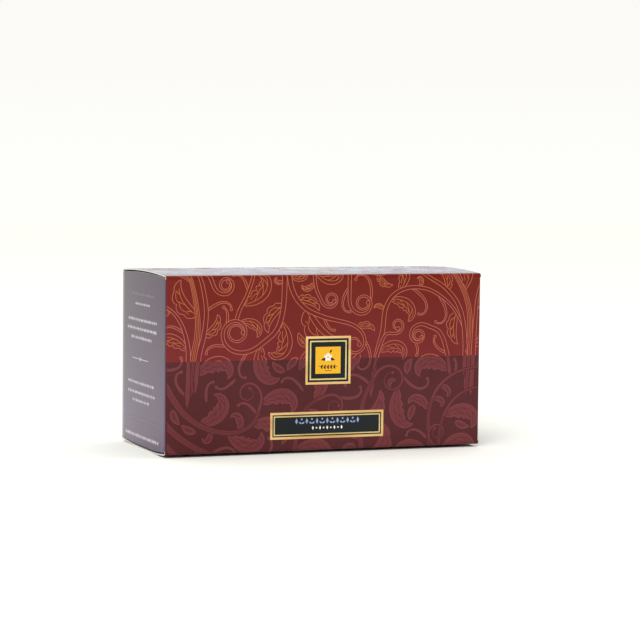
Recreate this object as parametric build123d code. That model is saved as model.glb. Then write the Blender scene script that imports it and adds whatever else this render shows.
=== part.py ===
from build123d import *
import os

# A shut tuck-end carton for enveloped tea bags, lying on its widest long side.
# X runs along the carton, Y from its front to its back, Z up.
# The origin is the middle of the flat strip that the carton rests on.

# ---- Driving dimensions, in millimetres ----
body_length = 148.6      # long panels, from cut edge to cut edge
body_depth = 66.0        # front face to back face
front_height = 77.5      # front panel, from its lower fold to its upper fold
top_crown = 1.1          # how far the packed contents lift the middle of the top
bottom_crown = 1.3       # how far the long lower folds stand above the rest strip
rest_strip = 22.0        # width of the flat strip in the middle of the bottom
board = 0.55             # thickness of the carton board
fold_radius = 1.2        # outside radius of a long fold
closure_gap = 0.6        # open gap along the top and the bottom of an end closure
closure_seat = 1.1       # how deep the gaps reach, down to the dust flaps
closure_crown = 0.4      # how far the middle of an end closure stands proud
closure_lift = 0.4       # how much less the bottom of a closure bulges than the bottom panel
closure_corner = 0.5     # rounding of a closure's corners beside its hinge
hinge_radius = 0.8       # outside radius of the fold that a closure hinges on
tuck_radius = 0.6        # outside radius of the fold behind the back panel
seam_radius = 0.45       # outside radius of the fold behind the glued corner

# ---- What follows from them ----
half_length = body_length / 2
front_face = -body_depth / 2
back_face = body_depth / 2
lower_fold = bottom_crown
upper_fold = bottom_crown + front_height
crown_top = upper_fold + top_crown
overlap = 1.0            # how far a closure's block reaches into the body it joins


def end_outline(front, back, inset, lift=0.0):
    """Outline of the carton's end, between two Y values and inset in Z, drawn as (Y, Z) points.
    Its flat strip is raised by the lift."""
    low = lower_fold + inset
    high = upper_fold - inset
    strip = rest_strip / 2
    base = inset + lift
    floor = Line((-strip, base), (strip, base))
    back_rise = TangentArc((strip, base), (back, low), tangent=(1, 0))
    back_line = Line((back, low), (back, high))
    lid = ThreePointArc((back, high), ((front + back) / 2, high + top_crown), (front, high))
    front_line = Line((front, high), (front, low))
    front_rise = TangentArc((-strip, base), (front, low), tangent=(-1, 0))
    return make_face([floor, back_rise, back_line, lid, front_line, front_rise])


def along_x(outline, start, end):
    """The outline carried along the carton from one X value to another."""
    return extrude(Plane.YZ.offset(start) * outline, end - start)


def long_edges(solid, face_y, height):
    """The edges that run along X at one face and one height."""
    runs = solid.edges().filter_by(Axis.X)
    return [e for e in runs if abs(e.center().Y - face_y) < board and abs(e.center().Z - height) < board]


def make_body():
    """The sleeve of front, top, back and bottom panels, with its three folds rounded."""
    body = along_x(end_outline(front_face, back_face, 0), -half_length, half_length)
    folds = long_edges(body, front_face, lower_fold)
    folds += long_edges(body, front_face, upper_fold)
    folds += long_edges(body, back_face, upper_fold)
    return fillet(folds, fold_radius)


def make_seam():
    """The open crease beside the glued corner, where the bottom folds in behind the back panel."""
    inner = back_face - board
    crease_low = lower_fold - board
    crease = make_face([
        Line((inner, lower_fold + seam_radius), (inner, crease_low)),
        Line((inner, crease_low), (inner - seam_radius, crease_low)),
        Line((inner - seam_radius, crease_low), (inner - seam_radius, lower_fold)),
        TangentArc((inner - seam_radius, lower_fold), (inner, lower_fold + seam_radius), tangent=(1, 0)),
    ])
    return along_x(crease, -half_length, half_length)


def make_pocket():
    """What the right end is open to, inside its four walls, before its closure is folded in."""
    outline = end_outline(front_face + board, back_face - board, board)
    return along_x(outline, half_length - closure_seat, half_length + board)


def closure_outline():
    """A closure seen from the end, with the two corners beside its hinge rounded."""
    outline = end_outline(front_face, back_face - board, board + closure_gap, closure_lift)
    hinge_corners = outline.vertices().sort_by(Axis.X)[:2]
    return fillet(hinge_corners, closure_corner)


def make_hinge_cut():
    """Where the front wall gives way to the right closure that is folded over from it."""
    return along_x(closure_outline(), half_length - closure_seat, half_length + board)


def closure_profile():
    """The right closure seen from above: crowned outside, with a fold rounded at each side."""
    root = half_length - closure_seat - overlap
    tuck_side = back_face - board
    middle = (front_face + tuck_side) / 2
    profile = make_face([
        Line((root, front_face), (half_length, front_face)),
        ThreePointArc((half_length, front_face), (half_length + closure_crown, middle), (half_length, tuck_side)),
        Line((half_length, tuck_side), (root, tuck_side)),
        Line((root, tuck_side), (root, front_face)),
    ])
    outer = profile.vertices().filter_by_position(Axis.X, half_length - overlap, half_length + overlap)
    profile = fillet(outer.sort_by(Axis.Y)[0], hinge_radius)
    outer = profile.vertices().filter_by_position(Axis.X, half_length - tuck_radius / 2, half_length + overlap)
    return fillet(outer.sort_by(Axis.Y)[-1], tuck_radius)


def make_closure():
    """The right end's closure: hinged on the front panel, tucked in behind the back panel."""
    block = along_x(closure_outline(), half_length - closure_seat - overlap, half_length + board)
    return block & extrude(closure_profile(), crown_top)


def make_carton():
    """The whole shut carton as one solid, with the same closure at both ends."""
    opened = make_pocket() + make_hinge_cut()
    closure = make_closure()
    carton = make_body() - make_seam() - opened - mirror(opened, about=Plane.YZ)
    return carton + closure + mirror(closure, about=Plane.YZ)


carton = make_carton()

os.makedirs("parts", exist_ok=True)
export_step(carton, "parts/carton.step")
size = carton.bounding_box().size
print(f"carton {size.X:.2f} x {size.Y:.2f} x {size.Z:.2f} mm, {carton.volume / 1000:.1f} cm3")
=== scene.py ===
# %% [markdown]
# # A shut tea carton
# The object is a folding carton of varnished board, packed with tea bags and lying on its long side.
# One sheet of board makes the sleeve, the flaps and the two end closures. The print is a deep red
# field over a burgundy one, with fine scrollwork, a square badge and a nameplate in gold foil frames.
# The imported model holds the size, and every piece below is placed from it.

# %% Load the frame
import bisect
import bmesh
import bpy
import cmath
import math
import random
from mathutils import Matrix, Vector


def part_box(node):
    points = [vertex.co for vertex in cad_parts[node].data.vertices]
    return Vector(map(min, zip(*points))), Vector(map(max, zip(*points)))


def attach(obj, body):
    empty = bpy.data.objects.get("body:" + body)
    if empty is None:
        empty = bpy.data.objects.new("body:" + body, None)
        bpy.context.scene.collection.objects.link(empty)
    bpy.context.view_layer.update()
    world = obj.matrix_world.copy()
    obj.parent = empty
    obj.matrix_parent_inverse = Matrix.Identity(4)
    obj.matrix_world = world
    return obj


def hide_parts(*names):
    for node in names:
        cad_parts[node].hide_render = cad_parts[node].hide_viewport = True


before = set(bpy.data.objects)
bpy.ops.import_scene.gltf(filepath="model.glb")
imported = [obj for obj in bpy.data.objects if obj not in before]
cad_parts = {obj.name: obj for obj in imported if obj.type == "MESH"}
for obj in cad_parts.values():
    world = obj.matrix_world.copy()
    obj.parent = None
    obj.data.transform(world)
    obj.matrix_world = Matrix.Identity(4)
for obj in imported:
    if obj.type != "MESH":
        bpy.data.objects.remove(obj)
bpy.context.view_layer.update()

MM = 0.001
low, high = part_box("carton")
print("carton box in mm", [round(v / MM, 2) for v in (*low, *high)])

# %% [markdown]
# ## Camera
# A small pack looks natural through a long lens, from about a metre away and a little above the table.
# Through a short lens its long edges would seem to run together. The camera looks to the right of
# straight ahead, so that the left end of the carton shows. Its place and its three angles are plain
# numbers, and its matrix is built from them.

# %% Camera
camera_place = Vector((-368.8, -980.8, 132.0)) * MM
camera_yaw = math.radians(21.084)
camera_tilt = math.radians(4.117)
camera_roll = math.radians(0.636)
camera_lens = 130.17
camera_nearest = 0.05      # metres in front of the camera where it begins to see

ahead = Vector((math.sin(camera_yaw) * math.cos(camera_tilt), math.cos(camera_yaw) * math.cos(camera_tilt),
                -math.sin(camera_tilt)))
level = Vector((math.cos(camera_yaw), -math.sin(camera_yaw), 0))
upward = level.cross(ahead)
across = level * math.cos(camera_roll) + upward * math.sin(camera_roll)
upright = upward * math.cos(camera_roll) - level * math.sin(camera_roll)

bpy.ops.object.select_all(action="DESELECT")
bpy.ops.object.camera_add()
camera = bpy.context.object
camera_turn = Matrix((across, upright, -ahead)).transposed()
camera.matrix_world = Matrix.Translation(camera_place) @ camera_turn.to_4x4()
camera.data.lens = camera_lens
camera.data.clip_start = camera_nearest
bpy.context.scene.camera = camera
print("camera", round(camera_place.length, 3), "m from the carton")

# %% [markdown]
# ## Shader maths as Python expressions
# A material is a small network of nodes. Written node by node it is hard to read, so one class wraps
# an output socket and turns +, - and * into Math nodes, and one method adds any other node.

# %% A wire, and the paint box that it comes from
class Wire:
    """One output of a node. Arithmetic on it adds a Math node."""

    def __init__(self, paint, socket):
        self.paint, self.socket = paint, socket

    def math(self, kind, *others):
        return self.paint.node("ShaderNodeMath", {"operation": kind}, (self, *others))

    def __add__(self, other):
        return self.math("ADD", other)

    def __sub__(self, other):
        return self.math("SUBTRACT", other)

    def __mul__(self, other):
        return self.math("MULTIPLY", other)

    def __radd__(self, other):
        return self.math("ADD", other)

    def step(self, start, end):
        """0 before start, 1 after end, and smooth between."""
        return self.paint.node("ShaderNodeMapRange", {"interpolation_type": "SMOOTHSTEP"},
                               {"Value": self, "From Min": start, "From Max": end})


class Paint:
    """A material's node tree, or the world's, being filled."""

    def __init__(self, tree):
        self.tree = tree
        tree.nodes.clear()

    def node(self, kind, settings=None, inputs=None, output=0):
        made = self.tree.nodes.new(kind)
        for name, value in (settings or {}).items():
            setattr(made, name, value)
        given = inputs.items() if isinstance(inputs, dict) else enumerate(inputs or ())
        for name, value in given:
            if isinstance(value, Wire):
                self.tree.links.new(value.socket, made.inputs[name])
            else:
                made.inputs[name].default_value = value
        return Wire(self, made.outputs[output]) if made.outputs else None

    def place(self):
        return self.node("ShaderNodeTexCoord", output="Object")

    def along(self, axis):
        return self.node("ShaderNodeSeparateXYZ", {}, (self.place(),), output="XYZ".index(axis))

    def noise(self, scale, detail=2.0, stretch=(1, 1, 1)):
        """Noise from 0 to 1 whose cells are about 1/scale metres, longer along a small stretch."""
        spot = self.node("ShaderNodeMapping", {}, {"Vector": self.place(), "Scale": stretch})
        return self.node("ShaderNodeTexNoise", {}, {"Vector": spot, "Scale": scale, "Detail": detail})

    def blend(self, share, first, second):
        return self.node("ShaderNodeMix", {"data_type": "RGBA"}, {0: share, 6: first, 7: second}, output=2)


def colour(red, green, blue):
    """A screen colour, 0 to 255, as the linear colour that a shader takes."""
    def linear(c):
        c /= 255
        return c / 12.92 if c <= 0.04045 else ((c + 0.055) / 1.055) ** 2.4
    return (linear(red), linear(green), linear(blue), 1.0)


def material(name, finish):
    """A new material. finish(paint) returns the Principled BSDF's inputs."""
    made = bpy.data.materials.new(name)
    made.use_nodes = True
    paint = Paint(made.node_tree)
    surface = paint.node("ShaderNodeBsdfPrincipled", {}, finish(paint))
    paint.node("ShaderNodeOutputMaterial", {}, (surface,))
    return made


print("paint box ready")

# %% [markdown]
# ## Light, floor and backdrop
# The light is that of a white studio: an even glow all round, one large soft lamp from the upper left,
# and a darker side where the camera stands, so that the varnish on the front shows its own colour.
# The floor is plain pale paper.

# %% World
wall_behind = (0.74, 0.80, 0.87, 1.0)   # what the varnish mirrors at a low angle: the far wall
wall_in_front = (0.30, 0.30, 0.30, 1.0)
glow_behind = (1.12, 1.12, 1.10, 1.0)    # what lights the scene
glow_in_front = (0.36, 0.36, 0.36, 1.0)
backdrop_low = (0.995, 1.0, 0.968, 1.0)  # the paper behind, where it meets the floor
backdrop_high = (0.972, 0.957, 0.922, 1.0)
front_to_behind = (-0.95, -0.25)         # how far back a direction points, where one side becomes the other
low_to_high = (-0.03, 0.07)              # how far up it points, where the backdrop changes

world = bpy.data.worlds.new("studio")
bpy.context.scene.world = world
world.use_nodes = True
sky = Paint(world.node_tree)
direction = sky.node("ShaderNodeTexCoord", output="Generated")
depth = sky.node("ShaderNodeSeparateXYZ", {}, (direction,), output="Y").step(*front_to_behind)
climb = sky.node("ShaderNodeSeparateXYZ", {}, (direction,), output="Z").step(*low_to_high)
paper = sky.blend(climb, backdrop_low, backdrop_high)
glow = sky.blend(depth, glow_in_front, glow_behind)
wall = sky.blend(depth, wall_in_front, wall_behind)
mirrored = sky.node("ShaderNodeLightPath", output="Is Glossy Ray")
seen = sky.node("ShaderNodeLightPath", output="Is Camera Ray")
shown = sky.blend(seen, sky.blend(mirrored, glow, wall), paper)
backdrop = sky.node("ShaderNodeBackground", {}, {"Color": shown, "Strength": 1.0})
sky.node("ShaderNodeOutputWorld", {}, (backdrop,))

# %% Lamps
def lamp(name, place, aim, width, power):
    bpy.ops.object.select_all(action="DESELECT")
    bpy.ops.object.light_add(type="AREA", location=place)
    made = bpy.context.object
    made.name = name
    made.rotation_mode = "QUATERNION"
    made.rotation_quaternion = (Vector(aim) - Vector(place)).to_track_quat("-Z", "Y")
    made.data.shape = "SQUARE"
    made.data.size = width
    made.data.energy = power
    return made


carton_middle = (0, 0, high.z / 2)
key_place = (-0.9, -1.3, 1.3)
key_width = 0.9
key_power = 16
lamp("key", key_place, carton_middle, key_width, key_power)

# %% Floor
floor_width = 6.0
bpy.ops.object.select_all(action="DESELECT")
bpy.ops.mesh.primitive_plane_add(size=floor_width, location=(0, 0, 0))
floor = bpy.context.object
floor.name = "floor"


def floor_finish(paint):
    grain = paint.noise(900, 3)
    tone = paint.blend(grain, colour(250, 251, 245), colour(255, 255, 249))
    return {"Base Color": tone, "Roughness": 0.9, "Specular IOR Level": 0.0}


floor.data.materials.append(material("floor_paper", floor_finish))
bpy.context.scene.view_settings.view_transform = "Standard"

# %% [markdown]
# ## The sleeve
# Four long panels, front, top, back and bottom, come from one sheet of board that is folded round and
# glued. It could be a block with rounded edges, but then it would have no cut edges and no thickness.
# Here it is made as the real one is: a strip of board starts at the glue flap, is pulled along as far
# as the next fold, and is turned about a centre where it bows. The folds are beveled afterwards, and
# Solidify gives the sheet its thickness, with raw board on the cut edges and inside.

# %% Sizes of the board and its folds
ink_room = 0.05 * MM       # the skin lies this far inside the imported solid, and the print fills it
board = 0.55 * MM
fold_radius = 1.2 * MM
hinge_radius = 0.8 * MM
seam_radius = 0.45 * MM
top_crown = 1.1 * MM
bottom_crown = 1.3 * MM
front_height = 77.5 * MM
rest_half = 11.0 * MM
closure_crown = 0.4 * MM
closure_gap = 0.6 * MM
closure_seat = 1.1 * MM
closure_lift = 0.4 * MM
closure_corner = 0.5 * MM
tuck_radius = 0.6 * MM
tuck_flap = 14.0 * MM
glue_flap = 12.0 * MM
glue_flap_end = 16.0 * MM  # the glue flap stops this far short, which leaves room for the tuck flaps

half_length = high.x - closure_crown
front_y = low.y + ink_room
back_y = high.y - ink_room
lower_fold = bottom_crown
upper_fold = lower_fold + front_height
top_z = upper_fold + top_crown - ink_room
print("sleeve half length", round(half_length / MM, 2), "crown at", round(top_z / MM, 2))


# %% Helpers for work in edit mode
def start_plane(name, corners):
    """A plane primitive pulled to four corners, left open in edit mode with nothing selected."""
    bpy.ops.object.select_all(action="DESELECT")
    bpy.ops.mesh.primitive_plane_add(size=1)
    made = bpy.context.object
    made.name = name
    for vertex, corner in zip(made.data.vertices, corners):
        vertex.co = corner
    bpy.ops.object.mode_set(mode="EDIT")
    bpy.ops.mesh.select_all(action="DESELECT")
    return made


def pick(piece, kind, wanted):
    """Selects the vertices, edges or faces whose place passes a test, in edit mode."""
    bpy.ops.object.mode_set(mode="OBJECT")
    mesh = piece.data
    for group in (mesh.vertices, mesh.edges, mesh.polygons):
        group.foreach_set("select", [False] * len(group))
    count = 0
    for item in getattr(mesh, kind):
        spots = [mesh.vertices[i].co for i in ([item.index] if kind == "vertices" else item.vertices)]
        if all(wanted(p) for p in spots):
            item.select = True
            count += 1
    bpy.ops.object.mode_set(mode="EDIT")
    mode = {"vertices": "VERT", "edges": "EDGE", "polygons": "FACE"}[kind]
    bpy.ops.mesh.select_mode(type=mode)
    return count


def near(value, wanted, within=0.02 * MM):
    return abs(value - wanted) < within


def pull(shift):
    """Extrudes the selected edge by a shift."""
    bpy.ops.mesh.extrude_edges_move(TRANSFORM_OT_translate={"value": shift})


def bow(centre, axis, angle, steps):
    """Turns the selected edge about an axis by the right-hand rule, leaving a bowed face behind it."""
    bpy.ops.mesh.spin(steps=steps, angle=-angle, center=centre, axis=axis, dupli=False)


def drop_doubles_and_face_out():
    bpy.ops.mesh.select_all(action="SELECT")
    bpy.ops.mesh.remove_doubles(threshold=0.002 * MM)
    bpy.ops.mesh.normals_make_consistent(inside=False)
    bpy.ops.mesh.select_all(action="DESELECT")


def cut_across(centre, normal):
    """Cuts the whole piece with a plane and keeps both sides."""
    bpy.ops.mesh.select_all(action="SELECT")
    bpy.ops.mesh.bisect(plane_co=centre, plane_no=normal)
    bpy.ops.mesh.select_all(action="DESELECT")


def apply_modifier(piece, kind, **settings):
    bpy.ops.object.select_all(action="DESELECT")
    piece.select_set(True)
    bpy.context.view_layer.objects.active = piece
    modifier = piece.modifiers.new(kind.title(), kind)
    for name, value in settings.items():
        setattr(modifier, name, value)
    bpy.ops.object.modifier_apply(modifier=modifier.name)


def smooth(piece, angle=35):
    bpy.ops.object.select_all(action="DESELECT")
    piece.select_set(True)
    bpy.context.view_layer.objects.active = piece
    bpy.ops.object.shade_smooth_by_angle(angle=math.radians(angle))


def arc_radius(half_chord, rise):
    return (half_chord ** 2 + rise ** 2) / (2 * rise)


# %% The curves of the top and the bottom
floor_bow = arc_radius(high.y - rest_half, bottom_crown)
rim_bow = arc_radius(high.y - rest_half, bottom_crown - closure_lift)
lid_bow = arc_radius(high.y, top_crown)
lid_centre = upper_fold + top_crown - lid_bow


def floor_height(y, bow=floor_bow):
    """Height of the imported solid's underside at a place across it."""
    out = max(0.0, abs(y) - rest_half)
    return bow - math.sqrt(bow ** 2 - out ** 2)


def lid_height(y):
    """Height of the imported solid's top at a place across it."""
    return lid_centre + math.sqrt(lid_bow ** 2 - y ** 2)


print("bows in mm", round(floor_bow / MM), round(lid_bow / MM))

# %% The curve of an end closure, seen from above
tuck_y = back_y - board - 0.03 * MM
crown_middle = (low.y + high.y - board) / 2
crown_bow = arc_radius((high.y - low.y - board) / 2, closure_crown)
crown_x = high.x - crown_bow


def on_crown(y, depth):
    """X of a point at a depth under the closure's crowned skin, and its angle about the crown's centre."""
    x = crown_x + math.sqrt((crown_bow - ink_room - depth) ** 2 - (y - crown_middle) ** 2)
    return x, math.atan2(y - crown_middle, x - crown_x)


hinge_y = front_y + hinge_radius
hinge_x, hinge_angle = on_crown(hinge_y, hinge_radius)
fold_y = tuck_y - tuck_radius
fold_x, fold_angle = on_crown(fold_y, tuck_radius)
print("hinge at", round(hinge_x / MM, 2), "tuck fold at", round(fold_x / MM, 2))


def closure_rim(y, upper):
    """Height of a closure's rim. The corners beside its hinge are rounded."""
    into_corner = min(max(0.0, front_y + closure_corner - y), closure_corner)
    eased = closure_corner - math.sqrt(closure_corner ** 2 - into_corner ** 2)
    margin = board + closure_gap + eased
    return lid_height(y) - margin if upper else floor_height(y, rim_bow) + closure_lift + margin


# %% Model the sleeve
flap_y = back_y - board - 0.02 * MM
seam_y = flap_y - seam_radius
seam_slope = math.asin((seam_y - rest_half) / (floor_bow - seam_radius))
seam_z = floor_bow + ink_room - (floor_bow - seam_radius) * math.cos(seam_slope)
band_z = lower_fold + 40.4 * MM
trim_x = half_length - closure_seat

sleeve = start_plane("sleeve", [
    (-half_length, flap_y, seam_z + glue_flap), (half_length, flap_y, seam_z + glue_flap),
    (-half_length, flap_y, seam_z), (half_length, flap_y, seam_z)])
pick(sleeve, "edges", lambda p: near(p.z, seam_z))
bow((0, seam_y, seam_z), (1, 0, 0), seam_slope - math.pi / 2, 5)
bow((0, rest_half, floor_bow + ink_room), (1, 0, 0), -seam_slope, 4)
pull((0, -2 * rest_half, 0))
bow((0, -rest_half, floor_bow + ink_room), (1, 0, 0), -math.asin((-front_y - rest_half) / floor_bow), 4)
front_low = floor_height(front_y) + ink_room
front_top = lid_centre + math.sqrt((lid_bow - ink_room) ** 2 - front_y ** 2)
pull((0, 0, front_top - front_low))
bow((0, 0, lid_centre), (1, 0, 0), -2 * math.asin(-front_y / (lid_bow - ink_room)), 12)
pull((0, 0, lower_fold + ink_room - front_top))
drop_doubles_and_face_out()

folds = pick(sleeve, "edges", lambda p: near(p.y, front_y)
             and (near(p.z, front_low) or near(p.z, front_top)))
bpy.ops.mesh.bevel(offset=fold_radius, segments=6, affect="EDGES")
folds += pick(sleeve, "edges", lambda p: near(p.y, back_y) and near(p.z, front_top))
bpy.ops.mesh.bevel(offset=fold_radius, segments=6, affect="EDGES")
rim_low, rim_high = closure_rim(front_y, False), closure_rim(front_y, True)
for height in (band_z, rim_low, rim_high):
    cut_across((0, 0, height), (0, 0, 1))
for x in (trim_x, -trim_x, half_length - glue_flap_end, glue_flap_end - half_length):
    cut_across((x, 0, 0), (1, 0, 0))
bpy.ops.object.mode_set(mode="OBJECT")
for vertex in sleeve.data.vertices:
    if near(vertex.co.y, front_y):
        vertex.co.y = front_y

trimmed = 0
for end in (1, -1):
    trimmed += pick(sleeve, "polygons", lambda p: p.x * end > trim_x - 0.01 * MM and near(p.y, front_y)
                    and rim_low - 0.02 * MM < p.z < rim_high + 0.02 * MM)
    bpy.ops.mesh.delete(type="FACE")
    trimmed += pick(sleeve, "polygons", lambda p: p.x * end > half_length - glue_flap_end - 0.01 * MM
                    and near(p.y, flap_y) and p.z > seam_z - 0.02 * MM)
    bpy.ops.mesh.delete(type="FACE")
bpy.ops.object.mode_set(mode="OBJECT")
print("folds", folds, "faces trimmed at the ends", trimmed, "section", len(sleeve.data.polygons))
lid_face = max(sleeve.data.polygons, key=lambda f: f.center.z)
print("top faces up:", lid_face.normal.z > 0.9)

# %% [markdown]
# The front panel carries on into the end closures. Its part of that fold, as far as the print's colour
# changes, is drawn out of the front panel's own edge.

# %% Draw the front panel out to its end folds
lip_turn = math.pi / 4
for end in (1, -1):
    before = len(sleeve.data.vertices)
    lip = pick(sleeve, "edges", lambda p: near(p.x * end, trim_x) and near(p.y, front_y)
               and rim_low - 0.02 * MM < p.z < rim_high + 0.02 * MM)
    pull((end * hinge_x - end * trim_x, 0, 0))
    bow((end * hinge_x, hinge_y, 0), (0, 0, 1), end * lip_turn, 6)
    bpy.ops.object.mode_set(mode="OBJECT")
    for vertex in list(sleeve.data.vertices)[before:]:
        if not near(vertex.co.z, band_z):
            vertex.co.z = closure_rim(vertex.co.y, vertex.co.z > band_z)
    print("lip edges", lip, "new vertices", len(sleeve.data.vertices) - before)
bpy.ops.object.mode_set(mode="EDIT")
drop_doubles_and_face_out()
bpy.ops.object.mode_set(mode="OBJECT")
lid_face = max(sleeve.data.polygons, key=lambda f: f.center.z)
front_face = min(sleeve.data.polygons, key=lambda f: f.center.y)
print("top faces up:", lid_face.normal.z > 0.9, "front faces out:", front_face.normal.y < -0.9)

# %% [markdown]
# ## Varnished print and raw board
# The printed side is ink under a gloss varnish. From the front it shows its own colour, and at a low
# angle it turns pale, because the varnish mirrors the white studio. A clear coat over the whole print
# would grey its colours, so the coat comes in only at the lowest angles. Real varnish is not quite
# even, so noise moves the roughness a little and a fine bump gives the board its tooth. Raw board is
# matt, off-white and fibrous.

# %% Finishes of the board
board_tooth = 2600
varnish_roughness = 0.08
front_gloss = 0.12         # the base's own mirror strength, where 0.5 is that of plain clear plastic
end_gloss = 0.3
end_roughness = 0.2
coat_angles = (0.72, 0.93)  # how low the angle is, 0 to 1, where the clear coat starts and is full
coat_roughness = 0.06


def varnish(paint, tint, gloss=front_gloss, dullness=varnish_roughness):
    """Varnished print of one tint, with the board's tooth and a slow waviness under it."""
    streak = paint.noise(70, 3)
    tooth = paint.noise(board_tooth, 3)
    wave = paint.noise(45, 1)
    relief = paint.node("ShaderNodeBump", {}, {"Strength": 0.02, "Distance": 0.2 * MM, "Height": tooth})
    relief = paint.node("ShaderNodeBump", {}, {"Strength": 0.02, "Distance": 1.0 * MM, "Height": wave,
                                               "Normal": relief})
    grazing = paint.node("ShaderNodeLayerWeight", {}, {"Blend": 0.5}, output=1)
    return {"Base Color": tint, "Specular IOR Level": gloss, "Normal": relief,
            "Roughness": dullness + (streak - 0.5) * 0.04,
            "Coat Weight": grazing.step(*coat_angles), "Coat Roughness": coat_roughness}


def speckled(paint, dark, light):
    """A tint that drifts slowly between two colours and is broken up by the fine screen of the print."""
    drift = paint.noise(22, 2)
    screen = paint.noise(1500, 2)
    share = drift.step(0.3, 0.7) * 0.75 + screen * 0.25
    return paint.blend(share, dark, light)


def inked(dark, light, gloss=front_gloss, dullness=varnish_roughness):
    """A finish of varnished print that drifts between two colours."""
    return lambda paint: varnish(paint, speckled(paint, dark, light), gloss, dullness)


def red_finish(paint):
    """Deep red, browner beside the top fold and more crimson lower down."""
    height = paint.along("Z").step(band_z, upper_fold)
    crimson = speckled(paint, colour(108, 31, 32), colour(120, 40, 41))
    russet = speckled(paint, colour(106, 26, 15), colour(116, 36, 25))
    return varnish(paint, paint.blend(height, crimson, russet))


def plum_finish(paint):
    """Dark plum, glossier than the long panels, painted lighter toward the bottom as painted floor light."""
    height = paint.along("Z").step(0.0, upper_fold)
    # painted floor light: the lower tint is lighter, as the floor's bounce would make it
    lower = speckled(paint, colour(67, 40, 77), colour(77, 49, 87))
    upper = speckled(paint, colour(42, 6, 46), colour(52, 17, 54))
    return varnish(paint, paint.blend(height, lower, upper), end_gloss, end_roughness)


def raw_board_finish(paint):
    fibre = paint.noise(5200, 4, stretch=(1, 0.35, 1))
    fleck = paint.noise(1800, 2)
    tone = paint.blend(fibre, colour(188, 186, 182), colour(214, 213, 210))
    relief = paint.node("ShaderNodeBump", {}, {"Strength": 0.25, "Distance": 0.05 * MM,
                                               "Height": fibre + fleck})
    return {"Base Color": tone, "Roughness": 0.85, "Normal": relief}


def flap_shade_finish(paint):
    """Plum painted much darker and unvarnished, as painted shade, for the flaps that only show as a dark
    line in the gap.
    """
    tint = speckled(paint, colour(30, 20, 28), colour(40, 27, 36))
    return {"Base Color": tint, "Specular IOR Level": 0.1, "Roughness": 0.8}


red_print = material("red_print", red_finish)
burgundy_print = material("burgundy_print", inked(colour(76, 28, 30), colour(86, 38, 42)))
plum_print_painted_glow = material("plum_print_painted_glow", plum_finish)
dark_flap_painted_shade = material("dark_flap_painted_shade", flap_shade_finish)
raw_board = material("raw_board", raw_board_finish)
print("finishes", [m.name for m in bpy.data.materials])

# %% Give the sleeve its thickness and its finishes
RED, BURGUNDY = 1, 2       # places in the list of finishes, where raw board is 0
for finish in (raw_board, red_print, burgundy_print):
    sleeve.data.materials.append(finish)
for face in sleeve.data.polygons:
    face.material_index = RED if face.center.z > band_z else BURGUNDY


def thicken(piece):
    """Turns a skin into board. The piece's first finish, raw board, goes inside and on the cut edges."""
    to_first = -len(piece.data.materials)
    apply_modifier(piece, "SOLIDIFY", thickness=board, offset=-1, use_even_offset=True,
                   material_offset=to_first, material_offset_rim=to_first)
    smooth(piece)


# the outline of the skin in y and z, from the glue flap round to the back, for the print to follow
ring = {}
for edge in sleeve.data.edges:
    one, two = edge.vertices
    if all(near(sleeve.data.vertices[i].co.x, trim_x) for i in edge.vertices):
        ring.setdefault(one, []).append(two)
        ring.setdefault(two, []).append(one)
loose_ends = [i for i, beside in ring.items() if len(beside) == 1]
walked = [next(i for i in loose_ends if sleeve.data.vertices[i].co.y < flap_y + MM / 10)]
while True:
    ahead_of = [i for i in ring[walked[-1]] if i not in walked]
    if not ahead_of:
        break
    walked.append(ahead_of[0])
skin = [complex(sleeve.data.vertices[i].co.y, sleeve.data.vertices[i].co.z) / MM for i in walked]
print("skin outline points", len(skin), "from", skin[0], "to", skin[-1])

thicken(sleeve)
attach(sleeve, "root")
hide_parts("carton")
print("sleeve triangles", sum(len(f.vertices) - 2 for f in sleeve.data.polygons))

# %% [markdown]
# ## The end closures
# Each end is shut by a panel that hinges on the front panel, crosses the end with a slight crown, and
# tucks in behind the back panel. It is a little narrower than the sleeve, which leaves an open gap
# along its top and bottom. It is made like the sleeve, as an edge that is turned and pulled, from the
# middle of the hinge onward, and its upper and lower rims are fitted to the curves of the carton. The
# left closure is a mirrored copy.

# %% Model the right closure
def round_hinge(turned_by):
    """A place on the hinge's outside, turned by an angle from facing the front."""
    return (hinge_x + hinge_radius * math.sin(turned_by), hinge_y - hinge_radius * math.cos(turned_by))


hinge_turn = math.pi / 2 + hinge_angle
first_turn = lip_turn + (hinge_turn - lip_turn) / 6
start_x, start_y = round_hinge(lip_turn)
next_x, next_y = round_hinge(first_turn)
closure = start_plane("closure_right", [
    (start_x, start_y, 0), (next_x, next_y, 0), (start_x, start_y, high.z), (next_x, next_y, high.z)])
pick(closure, "edges", lambda p: near(p.x, next_x))
bow((hinge_x, hinge_y, 0), (0, 0, 1), hinge_turn - first_turn, 5)
bow((crown_x, crown_middle, 0), (0, 0, 1), fold_angle - hinge_angle, 24)
bow((fold_x, fold_y, 0), (0, 0, 1), math.pi / 2 - fold_angle, 6)
pull((-tuck_flap, 0, 0))
drop_doubles_and_face_out()
bpy.ops.object.mode_set(mode="OBJECT")
for vertex in closure.data.vertices:
    vertex.co.z = closure_rim(vertex.co.y, vertex.co.z > high.z / 2)
print("closure spans z", round(min(v.co.z for v in closure.data.vertices) / MM, 2),
      round(max(v.co.z for v in closure.data.vertices) / MM, 2), "and reaches x",
      round(max(v.co.x for v in closure.data.vertices) / MM, 2))
out_face = max(closure.data.polygons, key=lambda f: f.center.x)
print("closure faces out:", out_face.normal.x > 0.9)

# %% Finish the closure and copy it to the left end
for finish in (raw_board, plum_print_painted_glow):
    closure.data.materials.append(finish)
for face in closure.data.polygons:
    face.material_index = 1
thicken(closure)


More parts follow.
